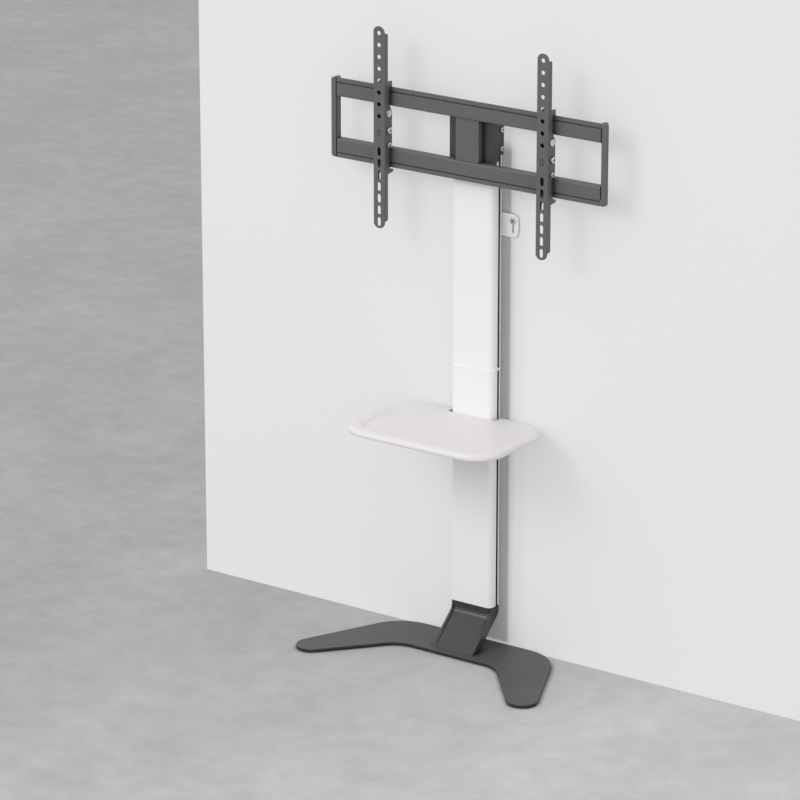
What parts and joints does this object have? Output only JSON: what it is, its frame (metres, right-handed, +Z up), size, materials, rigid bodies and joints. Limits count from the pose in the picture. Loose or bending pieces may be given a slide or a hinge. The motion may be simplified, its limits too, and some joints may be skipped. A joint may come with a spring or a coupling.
{
  "type": "floor stand with screen mount",
  "caption": "Free-standing floor stand: forked foot, sloping neck, white column with side grooves, sliding tray and a tilting screen mount with two holed arms.",
  "frame": {"origin": "on the floor, under the middle of the whole stand seen from above", "axes": "+Z up, the screen faces -Y, +X to the right seen from the front"},
  "size_m": [0.6774, 0.2946, 1.3253],
  "materials": {
    "foot_steel": "fine matt powder coat, dark grey",
    "neck_steel": "satin powder coat on a casting, dark grey",
    "dark_steel": "fine matt powder coat, dark grey",
    "dark_plastic": "moulded, dark grey",
    "column_white": "white satin powder coat",
    "white_plastic": "moulded, white",
    "tray_white": "moulded, white satin",
    "anchor_white": "white powder coat",
    "liner_black": "extruded, black",
    "zinc_steel": "zinc plated",
    "bright_steel": "nickel plated",
    "rubber_black": "matt"
  },
  "bodies": {
    "stand": {"base_plate": "foot_steel", "heel_pad_left": "rubber_black", "toe_pad_left": "rubber_black", "neck_screw_left": "zinc_steel", "groove_liner_lower_left": "liner_black", "groove_liner_upper_left": "liner_black", "heel_pad_right": "rubber_black", "toe_pad_right": "rubber_black", "neck_screw_right": "zinc_steel", "groove_liner_lower_right": "liner_black", "groove_liner_upper_right": "liner_black", "neck": "neck_steel", "column_lower": "column_white", "column_upper": "column_white", "joint_ring": "white_plastic", "joint_bar": "zinc_steel", "joint_screw_1": "zinc_steel", "spigot_screw_1": "zinc_steel", "anchor_screw_1": "zinc_steel", "joint_screw_2": "zinc_steel", "spigot_screw_2": "zinc_steel", "anchor_screw_2": "zinc_steel", "column_cap": "white_plastic", "wall_anchor": "anchor_white", "wall_screw": "bright_steel"},
    "shelf": {"shelf_tray": "tray_white", "shelf_bracket": "dark_steel", "shelf_tray_screw_1": "zinc_steel", "shelf_tray_screw_2": "zinc_steel", "shelf_tray_screw_3": "zinc_steel", "shelf_tray_screw_4": "zinc_steel", "shelf_clamp_screw_left": "bright_steel", "shelf_tee_nut_left": "zinc_steel", "shelf_clamp_screw_right": "bright_steel", "shelf_tee_nut_right": "zinc_steel"},
    "head": {"column_clamp": "dark_steel", "hub_channel": "dark_steel", "rail_upper": "dark_steel", "rail_lower": "dark_steel", "head_screw_upper_left": "bright_steel", "head_screw_lower_left": "bright_steel", "head_tee_nut_left": "zinc_steel", "end_cap_left": "dark_plastic", "head_screw_upper_right": "bright_steel", "head_screw_lower_right": "bright_steel", "head_tee_nut_right": "zinc_steel", "end_cap_right": "dark_plastic"},
    "hook_left": {"hook_bracket_left": "dark_steel", "pivot_rivet_left": "bright_steel", "lock_bolt_left": "bright_steel", "lock_nut_left": "bright_steel", "stay_bolt_left": "bright_steel"},
    "hook_right": {"hook_bracket_right": "dark_steel", "pivot_rivet_right": "bright_steel", "lock_bolt_right": "bright_steel", "lock_nut_right": "bright_steel", "stay_bolt_right": "bright_steel"},
    "screen_arm_left": {"arm_left": "dark_steel"},
    "screen_arm_right": {"arm_right": "dark_steel"}
  },
  "joints": [
    {"name": "head_height", "type": "slide", "parent": "stand", "child": "head", "axis": [0, 0, 1], "range_m": [-0.25, 0.02]},
    {"name": "shelf_height", "type": "slide", "parent": "stand", "child": "shelf", "axis": [0, 0, 1], "range_m": [-0.3, 0.06]},
    {"name": "hook_slide_left", "type": "slide", "parent": "head", "child": "hook_left", "axis": [1, 0, 0], "range_m": [-0.1, 0.1]},
    {"name": "hook_slide_right", "type": "slide", "parent": "head", "child": "hook_right", "axis": [1, 0, 0], "range_m": [-0.1, 0.1]},
    {"name": "arm_tilt_left", "type": "hinge", "parent": "hook_left", "child": "screen_arm_left", "pos_m": [-0.2, 0.056, 1.141], "axis": [1, 0, 0], "range_deg": [-3, 4]},
    {"name": "arm_tilt_right", "type": "hinge", "parent": "hook_right", "child": "screen_arm_right", "pos_m": [0.2, 0.056, 1.141], "axis": [1, 0, 0], "range_deg": [-3, 4]}
  ]
}
